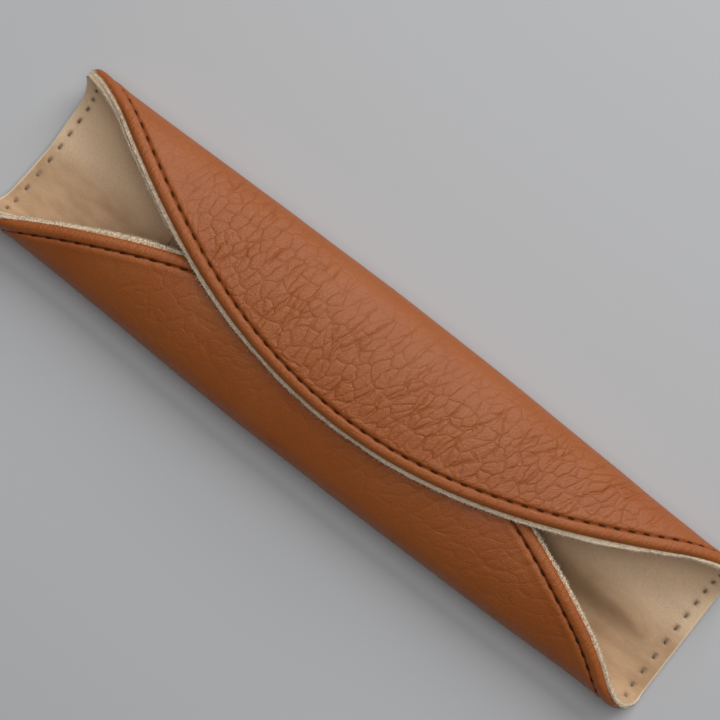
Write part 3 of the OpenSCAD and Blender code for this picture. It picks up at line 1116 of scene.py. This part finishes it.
def make_stage():
    mesh = bpy.data.meshes.new("floor")
    corners = [(x * FLOOR_REACH, y * FLOOR_REACH, 0) for x, y in ((-1, -1), (1, -1), (1, 1), (-1, 1))]
    mesh.from_pydata(corners, [], [(0, 1, 2, 3)])
    floor = bpy.data.objects.new("floor", mesh)
    bpy.context.scene.collection.objects.link(floor)
    material, _, principled = shader("floor", 0.85, 0.2)
    principled.inputs["Base Color"].default_value = FLOOR_COLOUR
    mesh.materials.append(material)
    world = bpy.data.worlds.new("studio")
    world.use_nodes = True
    world.node_tree.nodes["Background"].inputs["Color"].default_value = WORLD_COLOUR
    bpy.context.scene.world = world


make_camera()
make_stage()
make_lamp("key", power=5.1, place=(0.0, 0.678, 0.529))
make_lamp("overhead", power=2.8, place=(0.0, 0.09, 0.855))
bpy.context.scene.view_settings.view_transform = "Standard"

# Pieces

# How far the suede stands out of the mouths, past the leather's end faces
LINING_OVERHANG = 0.12
FACING_OVERHANG = 0.16

AREA_SAMPLES = 400

leather = leather_material()
suede = suede_material()
nap = fibre_material()
thread = thread_material("thread", THREAD_COLOUR, THREAD_PALE)
inner_thread = thread_material("thread_inside", INNER_THREAD_COLOUR, INNER_THREAD_PALE)
rng = np.random.default_rng(7)


def fit(made, side, material, slot, *nodes):
    """Gives a piece its material, bakes its transform into its mesh and hides the CAD nodes it stands
    for.
    """
    made.data.materials.clear()
    made.data.materials.append(material)
    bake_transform(made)
    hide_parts(*nodes)


def make_stitches(side, place, node):
    row = STITCHES[side][place]
    name = f"{SIDE_NAMES[side]}_half_{place}_stitches"
    fit(thread_mesh(name, side, row, OUTSIDE), side, thread, "thread", node)
    fit(thread_mesh(f"{name}_inside", side, row, INSIDE), side, inner_thread, "thread", node)


def half_area(side, to_x, past):
    """Flat area of one half from the mouth at -X to to_x, in square metres."""
    xs = np.linspace(-HALF_LENGTH, to_x, AREA_SAMPLES)
    width = edge_girth(xs, side) + past
    return float(np.sum((width[1:] + width[:-1]) / 2 * np.diff(xs))) * MM**2


def make_half(side):
    flap = FLAPS[side]
    half = SIDE_NAMES[side]
    outer = leather_half(side)
    relief_modifier(outer)
    fit(outer, side, leather, "leather", "base_leather", f"{flap}_leather")
    lining = suede_half(f"{half}_half_lining", side, HALF_LENGTH, LEATHER_T, LINING_T,
                        LINING_OVERHANG, 0)
    fit(lining, side, suede, "suede", "base_lining", f"{flap}_lining")
    facing = suede_half(f"{half}_half_facing", side, FACING_END, LINED_T, FACING_T,
                        FACING_OVERHANG, FACING_MORE[side])
    fit(facing, side, suede, "suede", "base_facing", f"{flap}_facing")
    fibres = fibre_mesh(f"{half}_half_nap", side, fibre_roots(side, rng), rng)
    fit(fibres, side, nap, "suede")
    make_stitches(side, "flap", f"{flap}_thread")
    make_stitches(side, "left_mouth", "left_mouth_thread")
    make_stitches(side, "right_mouth", "right_mouth_thread")
    widest = float(edge_girth(0.0, side))
    half_area(side, HALF_LENGTH, 0)
    half_area(side, HALF_LENGTH, LINING_SHOW)
    facing_wide = float(edge_girth(FACING_END, side)) + LINING_SHOW
    half_area(side, FACING_END, LINING_SHOW)


for side in (TOP, UNDER):
    make_half(side)

nickel = magnet_material()
for flap in FLAPS.values():
    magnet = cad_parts[f"{flap}_magnet"]
    magnet.data.materials.clear()
    magnet.data.materials.append(nickel)
